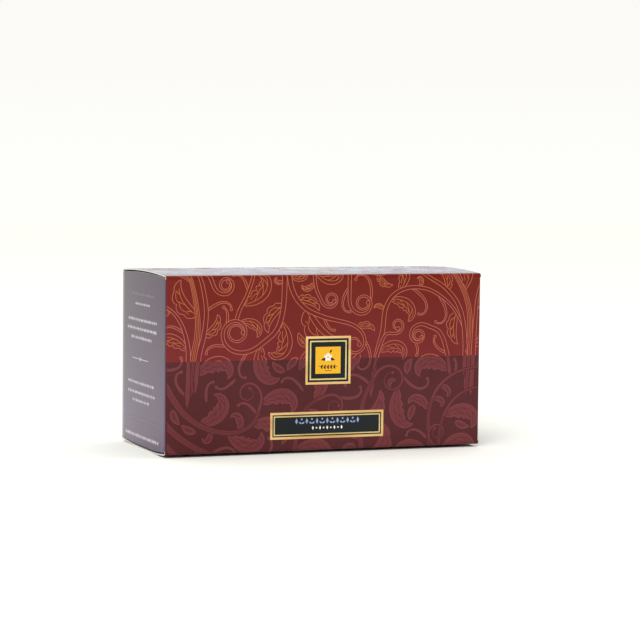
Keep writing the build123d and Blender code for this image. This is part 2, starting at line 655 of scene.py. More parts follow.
def copy_to_left(piece, name):
    """A mirrored copy with its own mesh, its normals turned the right way."""
    bpy.ops.object.select_all(action="DESELECT")
    piece.select_set(True)
    bpy.context.view_layer.objects.active = piece
    bpy.ops.object.duplicate()
    made = bpy.context.object
    made.name = name
    bpy.ops.object.mode_set(mode="EDIT")
    bpy.ops.mesh.select_all(action="SELECT")
    bpy.ops.transform.mirror(constraint_axis=(True, False, False), orient_type="GLOBAL",
                             center_override=(0, 0, 0))
    bpy.ops.mesh.normals_make_consistent(inside=False)
    bpy.ops.object.mode_set(mode="OBJECT")
    return made


closure_left = copy_to_left(closure, "closure_left")
for piece in (closure, closure_left):
    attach(piece, "root")
print("left closure spans x", round(min(v.co.x for v in closure_left.data.vertices) / MM, 2),
      round(max(v.co.x for v in closure_left.data.vertices) / MM, 2))

# %% [markdown]
# ## Dust flaps
# Two short flaps, one from the top and one from the bottom, are folded in behind each closure. Only a
# sliver of them shows through the gap above and below it. They are single sheets of board with their
# printed side outward, standing just behind the closure. Their plum is painted dark, as painted shade in
# the gap.

# %% Model the dust flaps
flap_face_x = trim_x - 0.8 * MM
flap_half = 31.4 * MM
flap_reach = 24.0 * MM
flap_play = 0.06 * MM
flap_straight = 0.3        # share of a flap, from its root, that keeps its full width
flap_taper = 0.12          # how fast the rest grows narrower


def dust_flap(name, root_z, reach):
    """One flap that hangs from a height by a reach, facing +X, with its root bowed like the panel."""
    flap = start_plane(name, [(flap_face_x, y, z) for z in (root_z, root_z + reach)
                              for y in (-flap_half, flap_half)])
    bpy.ops.mesh.select_all(action="SELECT")
    bpy.ops.mesh.subdivide(number_cuts=11)
    bpy.ops.object.mode_set(mode="OBJECT")
    for vertex in flap.data.vertices:
        along = (vertex.co.z - root_z) / reach
        y = vertex.co.y
        if reach < 0:
            root = lid_height(y) - board - flap_play
        else:
            root = floor_height(y) + board + flap_play + ink_room
        narrowing = 1 - flap_taper * max(0.0, along - flap_straight)
        vertex.co.z = root + along * reach
        vertex.co.y = y * narrowing
    bpy.ops.object.mode_set(mode="EDIT")
    bpy.ops.mesh.select_all(action="SELECT")
    bpy.ops.mesh.normals_make_consistent(inside=False)
    bpy.ops.object.mode_set(mode="OBJECT")
    if flap.data.polygons[0].normal.x < 0:
        flap.data.flip_normals()
    # painted shade: the flaps take a plum far darker than the print, so that the gap reads dark
    for finish in (raw_board, dark_flap_painted_shade):
        flap.data.materials.append(finish)
    for face in flap.data.polygons:
        face.material_index = 1
    thicken(flap)
    return flap


upper_flap = dust_flap("dust_flap_upper_right", top_z - board, -flap_reach)
lower_flap = dust_flap("dust_flap_lower_right", board, flap_reach)
dust_flaps = [upper_flap, lower_flap, copy_to_left(upper_flap, "dust_flap_upper_left"),
              copy_to_left(lower_flap, "dust_flap_lower_left")]
for piece in dust_flaps:
    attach(piece, "root")
print("dust flaps", [(f.name, round(min(v.co.z for v in f.data.vertices) / MM, 2),
                      round(max(v.co.z for v in f.data.vertices) / MM, 2)) for f in dust_flaps])

# %% [markdown]
# ## Scrollwork, drawn flat
# The print is curling stems with acanthus leaves, tendrils and buds, as fine outlines on the upper half
# and as solid leaves on the lower half. It could be a flat image on the surface, but that blurs from
# near. Here it is drawn as shapes that become thin films of ink. A flat page comes first: u runs along
# the carton, v runs up the front and on over the top, both in mm, and a place on the page is the
# complex number u + iv. Every stem and leaf is a line whose bend changes along it, with a width on
# each side.

# %% Lines that bend, and shapes round them
def turn(degrees):
    return cmath.exp(1j * math.radians(degrees))


def sweep(start, heading, length, bend_in, bend_out, power=1.0, step=0.5):
    """A line from a point. Its bend, in degrees per mm, goes from bend_in to bend_out along it."""
    count = max(4, round(length / step))
    pace = length / count
    points, headings = [start], [heading]
    for i in range(count):
        bend = bend_in + (bend_out - bend_in) * ((i + 0.5) / count) ** power
        points.append(points[-1] + pace * turn(headings[-1] + bend * pace / 2))
        headings.append(headings[-1] + bend * pace)
    return points, headings


def through(places, step=0.5):
    """A smooth line through places on the page, in even steps."""
    places = [complex(*p) for p in places]
    knots = [2 * places[0] - places[1], *places, 2 * places[-1] - places[-2]]
    points, headings, travelled = [], [], step
    for a, b, c, d in zip(knots, knots[1:], knots[2:], knots[3:]):
        count = 40
        for i in range(count):
            t = i / count
            spot = ((2 * b) + (c - a) * t + (2 * a - 5 * b + 4 * c - d) * t ** 2
                    + (3 * b - a - 3 * c + d) * t ** 3) / 2
            way = ((c - a) + 2 * (2 * a - 5 * b + 4 * c - d) * t + 3 * (3 * b - a - 3 * c + d) * t ** 2) / 2
            travelled += abs(c - b) / count
            if travelled >= step:
                points.append(spot)
                headings.append(math.degrees(cmath.phase(way)))
                travelled = 0.0
    return points, headings


class Motif:
    """A shape between two rails, with veins inside it. Widths are functions of the way along, 0 to 1."""

    def __init__(self, line, left, right, kind="leaf"):
        self.points, self.headings = line
        self.kind, self.veins = kind, []
        self.left_width, self.right_width = left, right
        last = len(self.points) - 1
        self.left = [self.beside(i, left(i / last)) for i in range(last + 1)]
        self.right = [self.beside(i, -right(i / last)) for i in range(last + 1)]
        self.outline = self.left + self.right[::-1]

    def beside(self, i, offset):
        return self.points[i] + 1j * turn(self.headings[i]) * offset

    def vein(self, start, end, share):
        """A line from start to end of the way along, at a share of the half width."""
        last = len(self.points) - 1
        width = self.left_width if share > 0 else self.right_width
        self.veins.append([self.beside(i, share * width(i / last))
                           for i in range(int(start * last), int(end * last) + 1)])

    def samples(self):
        """Points on the outline and inside it, for finding out whether another shape is near."""
        found = list(self.outline)
        for one, two in zip(self.left, self.right):
            count = int(abs(one - two) / 1.2)
            found += [one + (two - one) * (k + 1) / (count + 1) for k in range(count)]
        return found


def taper(root, tip):
    return lambda t: root + (tip - root) * t


def balled(width, length, radius):
    """A width that ends in a round ball."""
    def half(t):
        left_over = (1 - t) * length
        ball = math.sqrt(left_over * (2 * radius - left_over)) if 0 < left_over < 2 * radius else 0.0
        return max(ball, width(t)) if left_over > radius else ball
    return half


def pointed(width, share):
    """A width that grows from nothing over the first share of the way."""
    return lambda t: width(t) * min(1.0, t / share) ** 0.6


def lobed(width, lobes=0, depth=0.0, lean=0.9):
    """A leaf's width, nothing at both ends, notched between its lobes."""
    def half(t):
        if not 0 < t < 1:
            return 0.0
        notch = 1 - depth * (1 - abs(math.sin(math.pi * lobes * t)) ** 0.55) if lobes else 1.0
        return width * math.sin(math.pi * t ** lean) ** 0.8 * notch
    return half


# %% The kinds of shape
def stem(places, coil, root, ball=0.9):
    """A stem through places, ending in a coil (length, bend at its start and end) with a ball."""
    points, headings = through(places)
    end_points, end_headings = sweep(points[-1], headings[-1], *coil)
    line = (points + end_points[1:], headings + end_headings[1:])
    length = 0.5 * len(line[0])
    width = pointed(balled(taper(root, 0.3), length, ball), 3.0 / length)
    made = Motif(line, width, width, "stem")
    for share in (0.3, -0.3) if root > 1.45 else ():
        made.vein(0, 0.6, share)
    return made


def curl(root, heading, length, side):
    line = sweep(root, heading, length, side * 1.5, side * 30, 2.2, 0.4)
    width = pointed(balled(taper(0.6, 0.22), length, 0.6), 0.25)
    return Motif(line, width, width)


def acanthus(root, heading, length, bend, side):
    """A leaf that curls over, smooth on its back and lobed on its inner side."""
    line = sweep(root, heading, length, side * bend * 0.25, side * bend * 2.3, 1.5, 0.45)
    lobes = 3 + int(length > 10) + int(length > 16)
    inner = lobed(length * 0.2, lobes, 0.38)
    outer = lobed(length * 0.085)
    made = Motif(line, inner, outer) if side > 0 else Motif(line, outer, inner)
    made.vein(0.04, 0.85, 0.0)
    if length > 8:
        made.vein(0.2, 0.78, side * 0.55)
    last = len(made.points) - 1
    for k in range(1, lobes + 1):
        t = (k - 0.75) / lobes
        reach = inner(t + 0.25 / lobes) * 1.2
        if reach > 0.8:
            i = int(t * last)
            rib, _ = sweep(made.points[i], made.headings[i] + side * 30, reach, side * 6, side * 10, 1, 0.4)
            made.veins.append(rib)
    return made


def leaf(root, heading, length, bend, side):
    """A broad leaf, lobed on its outer side."""
    line = sweep(root, heading, length, side * bend * 0.35, side * bend * 1.7, 1.4)
    lobes = 3 + int(length > 11)
    outer = lobed(length * 0.24, lobes, 0.32, 0.75)
    inner = lobed(length * 0.1, lean=0.75)
    made = Motif(line, inner, outer) if side > 0 else Motif(line, outer, inner)
    made.vein(0.04, 0.8, 0.0)
    if length > 8:
        made.vein(0.2, 0.75, -side * 0.55)
    last = len(made.points) - 1
    for k in range(1, lobes):
        t = (k - 0.35) / lobes
        i = int(t * last)
        reach = outer(t) * 0.7
        rib, _ = sweep(made.points[i], made.headings[i] - side * 38, reach, side * 8, side * 4, 1, 0.4)
        made.veins.append(rib)
    return made


def bud(root, heading, length, side):
    line = sweep(root, heading, length, side * 3, side * 9, 1, 0.5)
    made = Motif(line, lobed(length * 0.22, lean=0.8), lobed(length * 0.2, lean=0.8))
    for start, share in ((0.2, -0.3), (0.1, 0.0), (0.3, 0.3)):
        made.vein(start, start + 0.5, share)
    return made


# %% The page, which remembers where there is ink
class Page:
    cell = 2.0

    def __init__(self):
        self.motifs, self.ink = [], {}

    def add(self, motif, owner):
        self.motifs.append(motif)
        for p in motif.samples():
            self.ink.setdefault((int(p.real // self.cell), int(p.imag // self.cell)), []).append((p, owner))

    def clear(self, points, room, besides=None):
        """True if no ink lies within some room of the points, besides one owner's."""
        reach = int(room // self.cell) + 1
        for p in points:
            a, b = int(p.real // self.cell), int(p.imag // self.cell)
            for i in range(a - reach, a + reach + 1):
                for j in range(b - reach, b + reach + 1):
                    for q, owner in self.ink.get((i, j), ()):
                        if owner != besides and abs(p - q) < room:
                            return False
        return True


page_half = 73.6
page_low = -33.0
page_high = 110.6

# places that a stem passes through, its coil (length, bend at the start and the end), its half width
STEMS = [
    ([(-63, 24), (-62, 40), (-60, 52), (-60.5, 64), (-64, 78), (-72, 90)], (16, 2, 12), 1.5),
    ([(-64.5, 20), (-64, 36), (-64.5, 48), (-68, 58), (-74, 64), (-82, 66)], (4, 2, 4), 1.3),
    ([(-61, 26), (-59.4, 42), (-57, 52), (-56, 62), (-57.5, 72), (-60, 82), (-58, 92)], (26, -4, -24), 1.2),
    ([(-60, 84), (-55, 78), (-52.5, 72.5)], (31, 9, 30), 0.9),
    ([(-43, 55), (-41, 62), (-37, 70), (-34, 80), (-34, 92)], (24, -6, -24), 0.8),
    ([(-20, 116), (-20.4, 96), (-20, 78), (-20.8, 62), (-24, 53), (-31, 47)], (64, -2.6, -19), 1.4),
    ([(-15, 116), (-17, 96), (-18, 80), (-16, 70), (-10.5, 63), (-2, 59), (8, 56.5)], (38, -0.5, -24), 1.4),
    ([(-9, 104), (-7, 92), (-6.2, 80), (-5.4, 72), (-2.5, 65.5)], (24, 11, 32), 0.9),
    ([(2, 112), (7, 96), (10.5, 84), (10.5, 74), (10.5, 66)], (37, 7, 24), 1.1),
    ([(21, 22), (23.5, 40), (26.5, 52), (27.8, 62), (32, 68.5), (40, 71.5), (50, 70), (60, 63), (66, 53),
      (68, 42)], (6, -1, -2), 1.2),
    ([(22, 34), (25, 44), (28, 50.5), (33, 51)], (17, 12, 36), 0.8),
    ([(60, 30), (58, 42), (54.5, 51), (48, 54.4)], (34, 7, 32), 1.0),
    ([(67.5, 22), (68.5, 40), (69.3, 54), (67.5, 66), (61, 78), (52, 88)], (24, 2, 18), 1.5),
    ([(70, 22), (71, 40), (71.8, 56), (73.5, 70), (80, 84)], (4, 0, 0), 1.3),
    ([(66.5, 30), (66.8, 48), (64, 62), (57, 71), (46, 78), (36, 88)], (22, -5, -24), 1.1),
    ([(-80, 42), (-73, 28), (-65, 17), (-54, 10.5), (-42, 9), (-34, 13), (-31, 20)], (34, 4, 24), 1.7),
    ([(-82, 24), (-72, 11), (-61, 3), (-48, -3), (-36, -12)], (34, -3, -18), 1.7),
    ([(-80, 10), (-70, 0), (-62, -10), (-56, -24), (-54, -40)], (4, 0, 0), 1.5),
    ([(14, -40), (15, -20), (17, -4), (16.4, 10), (18, 22), (23, 32)], (40, -5.5, -17), 1.8),
    ([(50, -40), (52, -20), (50, 0), (49.5, 14), (53, 25), (61, 32), (71, 35), (82, 35)], (4, 0, 0), 1.7),
    ([(54, -40), (56, -20), (54.5, -2), (56, 11), (61, 20), (69, 25), (82, 27)], (4, 0, 0), 1.5),
    ([(66, -38), (64, -20), (59, -6), (51, 1.5)], (28, -9, -26), 1.1),
    ([(-22, -40), (-18, -20), (-15, -2), (-13, 12), (-8, 20), (0, 24)], (30, -7, -26), 1.6),
    ([(-80, 108), (-64, 106), (-50, 100), (-42, 90)], (24, -4, -26), 1.2),
    ([(80, 100), (66, 104), (50, 104), (38, 98)], (28, 4, 22), 1.2),
    ([(24, 116), (23, 104), (19, 92), (20, 82)], (26, 8, 26), 1.1),
]


# %% Grow the leaves
dice = random.Random(7)
page = Page()
for n, numbers in enumerate(STEMS):
    page.add(stem(*numbers), n)


def sprout(n, motif, i, side):
    """Tries ever shorter shapes beside a stem, and adds the first that has room."""
    plan = dice.random()
    for length in (24, 19, 15, 12, 9, 7):
        for spread in (20, 34, 52):
            heading = motif.headings[i] + side * spread
            if plan < 0.3 and length <= 19:
                made = curl(motif.points[i], heading, length, dice.choice((-1, 1)) if plan < 0.1 else side)
            elif plan < 0.78:
                made = acanthus(motif.points[i], heading, length, dice.uniform(130, 200) / length,
                                side if plan < 0.62 else -side)
            else:
                made = leaf(motif.points[i], heading, length, dice.uniform(60, 120) / length, -side)
            skip = int(len(made.points) * 0.24)
            body = made.outline[skip:-skip]
            inside = all(page_low - 4 < p.imag < page_high + 4 and abs(p.real) < page_half + 6 for p in body)
            if inside and page.clear(body, 1.0, n) and page.clear(body, 0.4):
                page.add(made, ("leaf", len(page.motifs)))
                return True
    return False


for n, motif in enumerate(page.motifs[:len(STEMS)]):
    i, side = 6, 1
    while i < len(motif.points) - 12:
        i += 9 if sprout(n, motif, i, side) else 4
        side = -side
print("shapes on the stems", len(page.motifs))

# %% Fill the room that is left with small loose leaves
for size in (7.5, 6.0, 4.8, 3.9):
    for attempt in range(900):
        centre = complex(dice.uniform(-page_half, page_half), dice.uniform(page_low, page_high))
        if not page.clear([centre], size * 0.7):
            continue
        for k in range(12):
            heading = dice.uniform(0, 360)
            length = size * 1.9
            root = centre - turn(heading) * length * 0.5
            side = dice.choice((-1, 1))
            if size > 5 and k < 6:
                made = acanthus(root, heading, length * 1.2, dice.uniform(120, 190) / length, side)
            elif size > 4:
                made = curl(root, heading, length * 1.2, side)
            else:
                made = bud(root, heading, length, side)
            if page.clear(made.outline, 0.9):
                page.add(made, ("leaf", len(page.motifs)))
                break
print("shapes with the loose leaves", len(page.motifs))

# %% [markdown]
# ## From the page to the carton
# The page is wrapped round the carton by travelling along the skin that the sleeve was made from. The
# front is the anchor: there, v is the height above the lower fold. The second half of the print is the
# first one turned half round about the middle of the top, so the back of the carton looks like its
# front. Each film of ink is built flat, cut along every fold line, laid on the skin, and thickened
# downward so that its underside is sunk in the board.

# %% The way round the skin
anchor = min(range(len(skin)), key=lambda i: abs(skin[i] - complex(front_y, band_z) / MM))
band_travel = (band_z - lower_fold) / MM
travel = [0.0]
for here, there in zip(skin, skin[1:]):
    travel.append(travel[-1] + abs(there - here))
travel = [t - travel[anchor] + band_travel for t in travel]
facing = [(there - here) / abs(there - here) * 1j for here, there in zip(skin, skin[1:])]
normals = [facing[0]] + [(a + b) / abs(a + b) for a, b in zip(facing, facing[1:])] + [facing[-1]]
fold_rows = [travel[i] for i in range(1, len(skin) - 1) if abs(facing[i] - facing[i - 1]) > 0.03]


def on_skin(u, v, lift):
    """The place in mm at a travel v round the skin, at a lift above it, or past an end fold."""
    i = min(max(bisect.bisect_right(travel, v) - 1, 0), len(skin) - 2)
    share = (v - travel[i]) / (travel[i + 1] - travel[i])
    outward = normals[i] + (normals[i + 1] - normals[i]) * share
    spot = skin[i] + (skin[i + 1] - skin[i]) * share + outward / abs(outward) * lift
    past = abs(u) - hinge_x / MM
    if past < 0 or outward.real > -0.99:
        return u, spot.real, spot.imag
    turned_by = past * MM / hinge_radius
    reach_out = hinge_radius / MM + lift
    x = hinge_x / MM + reach_out * math.sin(turned_by)
    return math.copysign(x, u), hinge_y / MM - reach_out * math.cos(turned_by), spot.imag


def travel_at_middle(upper):
    """The travel at which the skin crosses y = 0, over the top or under the bottom."""
    for i, (one, two) in enumerate(zip(skin, skin[1:])):
        if one.real * two.real < 0 and (one.imag > 40) == upper:
            return travel[i] + (travel[i + 1] - travel[i]) * one.real / (one.real - two.real)


top_middle = travel_at_middle(True)
bottom_middle = travel_at_middle(False)
around = 2 * (top_middle - bottom_middle)
low_fold, top_fold, seam = 0.2, 77.3, -64.5
back_fold = 2 * top_middle - top_fold
back_band = 2 * top_middle - band_travel
back_end = travel[-1] - 0.1
print("travel: bottom middle", round(bottom_middle, 2), "top middle", round(top_middle, 2), "around",
      round(around, 2), "fold rows", len(fold_rows))


# %% Films of ink
def ribbon(run, width):
    """The two rails of a line of ink of even width along a run of points."""
    left, right = [], []
    for i, p in enumerate(run):
        before = p - run[i - 1] if i else run[1] - p
        after = run[i + 1] - p if i < len(run) - 1 else before
        along = before / (abs(before) or 1) + after / (abs(after) or 1)
        along = along / abs(along) if abs(along) > 0.2 else before / (abs(before) or 1)
        left.append(p + 1j * along * width / 2)
        right.append(p - 1j * along * width / 2)
    return left, right


def bar(u0, v0, u1, v1, step=1.5):
    """The rails of a rectangle, in short steps upward so that it can follow a curve."""
    count = max(1, round((v1 - v0) / step))
    rows = [v0 + (v1 - v0) * i / count for i in range(count + 1)]
    return [complex(u0, v) for v in rows], [complex(u1, v) for v in rows]


def fan(outline, centre):
    """The rails of a rounded shape, each step from its centre to its outline."""
    loop = outline + outline[:1]
    return [centre] * len(loop), loop


sunk = 0.02                # mm that the underside of a film lies below the skin
stagger = 0.0006           # mm between the tops of shapes that cross, so that no two coincide
level_cell = 2             # mm, the size of the squares in which shapes may cross


def levels(shapes):
    """A level for each shape, so that no two that may cross lie on the same one."""
    taken, found = {}, []
    for rails in shapes:
        cells = {(int(p.real // level_cell), int(p.imag // level_cell)) for rail in rails for p in rail}
        around_them = {(a + i, b + j) for a, b in cells for i in (-1, 0, 1) for j in (-1, 0, 1)}
        used = {level for cell in around_them for level in taken.get(cell, ())}
        level = next(n for n in range(len(shapes) + 1) if n not in used)
        for cell in cells:
            taken.setdefault(cell, set()).add(level)
        found.append(level)
    return found


def film(name, shapes, place, lift, finish, window, rows=(), holes=()):
    """One piece of ink from shapes given as pairs of rails. window and holes are (u0, v0, u1, v1)."""
    sheet = bmesh.new()
    shapes = [s for s in shapes if max(p.imag for p in s[0] + s[1]) > window[1]
              and min(p.imag for p in s[0] + s[1]) < window[3]]
    for (left, right), level in zip(shapes, levels(shapes)):
        pairs = []
        extra = level * stagger
        for one, two in zip(left, right):
            first = sheet.verts.new((one.real, one.imag, extra))
            second = first if abs(one - two) < 1e-4 else sheet.verts.new((two.real, two.imag, extra))
            pairs.append((first, second))
        for (a, b), (d, c) in zip(pairs, pairs[1:]):
            corners = list(dict.fromkeys((b, c, d, a)))
            spots = [complex(v.co.x, v.co.y) for v in corners]
            area = sum((p.conjugate() * q).imag for p, q in zip(spots, spots[1:] + spots[:1])) / 2
            if len(corners) > 2 and area > 1e-4:
                sheet.faces.new(corners)
    for kind, level, outward in (("u", window[0], -1), ("u", window[2], 1), ("v", window[1], -1),
                                 ("v", window[3], 1)):
        side = Vector((outward, 0, 0)) if kind == "u" else Vector((0, outward, 0))
        spot = Vector((level, 0, 0)) if kind == "u" else Vector((0, level, 0))
        bmesh.ops.bisect_plane(sheet, geom=[*sheet.verts, *sheet.edges, *sheet.faces], dist=1e-5,
                               plane_co=spot, plane_no=side, clear_outer=True)
    lines = [((0, v, 0), (0, 1, 0)) for v in rows if window[1] < v < window[3]]
    for u0, v0, u1, v1 in holes:
        lines += [((u, 0, 0), (1, 0, 0)) for u in (u0, u1)] + [((0, v, 0), (0, 1, 0)) for v in (v0, v1)]
    for spot, side in lines:
        bmesh.ops.bisect_plane(sheet, geom=[*sheet.verts, *sheet.edges, *sheet.faces], dist=1e-5,
                               plane_co=spot, plane_no=side)
    covered = [f for f in sheet.faces for u0, v0, u1, v1 in holes
               if u0 < f.calc_center_median().x < u1 and v0 < f.calc_center_median().y < v1]
    bmesh.ops.delete(sheet, geom=list(set(covered)), context="FACES")
    bmesh.ops.delete(sheet, geom=[v for v in sheet.verts if not v.link_faces], context="VERTS")
    for vertex in sheet.verts:
        vertex.co = Vector(place(vertex.co.x, vertex.co.y, lift + vertex.co.z)) * MM
    sheet.normal_update()
    mesh = bpy.data.meshes.new(name)
    sheet.to_mesh(mesh)
    sheet.free()
    piece = bpy.data.objects.new(name, mesh)
    bpy.context.scene.collection.objects.link(piece)
    mesh.materials.append(finish)
    apply_modifier(piece, "SOLIDIFY", thickness=(lift + sunk) * MM, offset=-1)
    smooth(piece, 30)
    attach(piece, "root")
    return piece


# %% Every shape of the scrollwork, with its turned copies
def turned(points, middle, shift=0.0):
    return [2j * middle - p - 1j * shift for p in points]


class Placed:
    """A motif at its place on the whole sheet, with how high it lies over the others."""

    def __init__(self, motif, copy, rank):
        def move(points):
            if copy == 0:
                return points
            return turned(points, top_middle if copy == 1 else bottom_middle)
        self.kind = motif.kind
        self.rank = rank
        self.left, self.right = move(motif.left), move(motif.right)
        self.veins = [move(v) for v in motif.veins]
        self.outline = self.left + self.right[::-1]


placed = []
for copy in range(3):
    for n, motif in enumerate(page.motifs):
        rank = 1 + copy + 3 * n if motif.kind == "stem" else 0
        placed.append(Placed(motif, copy, rank))

cover_cell = 3             # mm, the size of the squares in which stems are looked up
cover_reach = 0.3          # mm, more than half the step between two points of a stem
cover_margin = 0.02        # mm inside a stem's edge where it begins to cover
cover = {}
for item in placed:
    if item.kind == "stem":
        for one, two in zip(item.left, item.right):
            middle = (one + two) / 2
            entry = (middle, (one - two) / (abs(one - two) or 1), abs(one - two) / 2, item.rank)
            square = int(middle.real // cover_cell), int(middle.imag // cover_cell)
            cover.setdefault(square, []).append(entry)


def hidden(p, rank):
    """True if a stem that lies higher covers the point."""
    a, b = int(p.real // cover_cell), int(p.imag // cover_cell)
    for i in (a - 1, a, a + 1):
        for j in (b - 1, b, b + 1):
            for middle, side, half, other in cover.get((i, j), ()):
                if other > rank and abs(p - middle) < half + cover_reach:
                    off = (p - middle) * side.conjugate()
                    if abs(off.real) < half - cover_margin and abs(off.imag) < cover_reach:
                        return True
    return False


def runs(points, rank):
    """The stretches of a line that nothing covers."""
    found, run = [], []
    for p in points:
        if hidden(p, rank):
            if len(run) > 2:
                found.append(run)
            run = []
        else:
            run.append(p)
    if len(run) > 2:
        found.append(run)
    return found


outline_width = 0.25
vein_width = 0.21
contour_width = 0.42
glint_width = 0.22

outlines, veins, fields, cuts, glints = [], [], [], [], []
for item in placed:
    for side in (item.left, item.right):
        for run in runs(side, item.rank):
            outlines.append(ribbon(run, outline_width))
            if item.kind == "stem":
                cuts.append(ribbon(run, contour_width))
            else:
                glints.append(ribbon(run, glint_width))
    for vein in item.veins:
        for run in runs(vein, item.rank):
            veins.append(ribbon(run, vein_width))
            cuts.append(ribbon(run, vein_width))
    fields.append((item.left, item.right))
print("lines", len(outlines), "veins", len(veins), "fields", len(fields))

# %% [markdown]
# ## Inks and foil
# The line ink is a dull copper that is more orange in some places than in others. The leaves of the
# lower half are one shade lighter than their ground, with a thin lighter edge. The frames are foil,
# which is metal, so they mirror the studio in their own colour. Foil that was stamped on board is
# never flat, so a fine bump breaks its highlight.

# %% Finishes of the print
def copper_line_finish(paint):
    drift = paint.noise(38, 2).step(0.35, 0.65)
    screen = paint.noise(2400, 2)
    tint = paint.blend(drift, colour(188, 108, 94), colour(196, 108, 76))
    return varnish(paint, paint.blend(screen * 0.3, tint, colour(150, 70, 56)))


def copper_vein_finish(paint):
    drift = paint.noise(30, 2).step(0.35, 0.65)
    tint = paint.blend(drift, colour(190, 102, 66), colour(204, 120, 60))
    return varnish(paint, paint.blend(paint.noise(2400, 2) * 0.3, tint, colour(150, 74, 50)))


def foil(paint, dark, light, roughness):
    brushed = paint.noise(160, 3, stretch=(0.25, 1, 1))
    pebble = paint.noise(1900, 2)
    relief = paint.node("ShaderNodeBump", {}, {"Strength": 0.12, "Distance": 0.1 * MM, "Height": pebble})
    return {"Base Color": paint.blend(brushed.step(0.3, 0.7), dark, light), "Metallic": 0.75,
            "Roughness": roughness + (pebble - 0.5) * 0.16, "Normal": relief}


def gold_finish(paint):
    return foil(paint, colour(224, 178, 116), colour(250, 210, 142), 0.4)


def pale_gold_finish(paint):
    return foil(paint, colour(222, 196, 128), colour(248, 226, 160), 0.42)


copper_line = material("copper_line", copper_line_finish)
copper_vein = material("copper_vein", copper_vein_finish)
leaf_ink = material("leaf_ink", inked(colour(106, 46, 50), colour(116, 54, 58)))
leaf_edge = material("leaf_edge", inked(colour(117, 60, 64), colour(126, 67, 70)))
gold_foil = material("gold_foil", gold_finish)
pale_foil = material("pale_foil", pale_gold_finish)
plate_ink = material("plate_ink", inked(colour(20, 24, 27), colour(32, 37, 40)))
yellow_ink = material("yellow_ink", inked(colour(234, 172, 36), colour(244, 186, 46)))
pale_ink = material("pale_ink", inked(colour(232, 228, 220), colour(248, 246, 240)))
periwinkle_ink = material("periwinkle_ink", inked(colour(128, 146, 190), colour(152, 170, 214)))
dark_ink = material("dark_ink", inked(colour(44, 24, 22), colour(60, 34, 28)))

# %% Lay the scrollwork on the carton
badge_middle = complex(0.75, 39.75)
badge_half = 10.65
top_badge_middle = complex(0.75, top_middle)
plate_middle = complex(0.63, 11.15)
plate_half = complex(26.79, 5.92)


def box_round(middle, half_u, half_v):
    return middle.real - half_u, middle.imag - half_v, middle.real + half_u, middle.imag + half_v


def on_back(middle):
    return 2j * top_middle - middle


badges = [badge_middle, top_badge_middle, on_back(badge_middle)]
plates = [plate_middle, on_back(plate_middle)]
plate_holes = [box_round(m, badge_half - 0.1, badge_half - 0.1) for m in badges]
plate_holes += [box_round(m, plate_half.real - 0.1, plate_half.imag - 0.1) for m in plates]
reach = half_length / MM - 0.05
front_reach = hinge_x / MM + 0.6
rim_v = [(rim_low - lower_fold) / MM + 0.1, (rim_high - lower_fold) / MM - 0.1]
front_v = (0.5, 76.9)
past_hinge = 5             # mm past the hinge, farther than the print goes
# round the hinge, the print stops at the closure's rims
for side in (hinge_x / MM, -hinge_x / MM - past_hinge):
    plate_holes += [(side, front_v[0], side + past_hinge, rim_v[0]),
                    (side, rim_v[1], side + past_hinge, front_v[1])]
upper_parts = {"front": (front_reach, band_travel, top_fold), "top": (reach, top_fold, back_fold),
               "back": (reach, back_fold, back_band)}
lower_parts = {"front": (front_reach, low_fold, band_travel), "bottom": (reach, seam, low_fold),
               "back": (reach, back_band, back_end)}


def lay(name, shapes, parts, lift, finish):
    """Lays one kind of ink on each panel as a piece of its own."""
    for panel, (half_u, v0, v1) in parts.items():
        piece = film(name + "_" + panel, shapes, on_skin, lift, finish, (-half_u, v0, half_u, v1),
                     fold_rows, plate_holes)
        print(piece.name, "faces", len(piece.data.polygons))


lay("scroll_lines", outlines, upper_parts, 0.016, copper_line)
lay("scroll_veins", veins, upper_parts, 0.008, copper_vein)
lay("leaf_fields", fields, lower_parts, 0.006, leaf_ink)
lay("leaf_edges", glints, lower_parts, 0.014, leaf_edge)
lay("leaf_cuts", cuts, lower_parts, 0.022, burgundy_print)

# %% [markdown]
# ## Badge and nameplate
# A square badge and a long nameplate sit over the scrollwork, each with a wide foil frame, a thin foil
# frame inside it, and a blue-black field. The pack bears no words: the badge carries a tea flower over
# a leafy twig on a yellow square, and the nameplate two rows of leaves, lozenges and dots where a name
# would be. They are bars and fans of ink, like the rest of the print.

# %% Helpers for flat ornaments
def frame_bars(middle, half_u, half_v, width):
    """The four bars of a frame, from its outer half sizes inward by its width."""
    u0, v0, u1, v1 = box_round(middle, half_u, half_v)
    return [bar(u0, v0, u1, v0 + width), bar(u0, v1 - width, u1, v1),
            bar(u0, v0 + width, u0 + width, v1 - width), bar(u1 - width, v0 + width, u1, v1 - width)]


def petal(root, heading, length, half_width):
    line = sweep(root, heading, length, 0, 0, 1, length / 12)
    width = lobed(half_width, lean=1.0)
    shape = Motif(line, width, width)
    return shape.left, shape.right


def lozenge(middle, half_u, half_v):
    """A diamond, as the rails from its left tip to its right tip."""
    tips = middle - half_u, middle + half_u
    return [tips[0], middle + 1j * half_v, tips[1]], [tips[0], middle - 1j * half_v, tips[1]]


def disc(middle, radius, corners=20):
    return fan([middle + radius * turn(360 * k / corners) for k in range(corners)], middle)


def leaf_pair(middle, size):
    return [petal(middle, 28, size, size * 0.24), petal(middle, 152, size, size * 0.24)]


# %% The parts of one badge and one nameplate, about their middle
badge_frame, badge_line, badge_gap = 1.05, 0.62, 1.95
plate_frame, plate_line, plate_gap = 1.05, 0.5, 1.6
yellow_half = 5.95


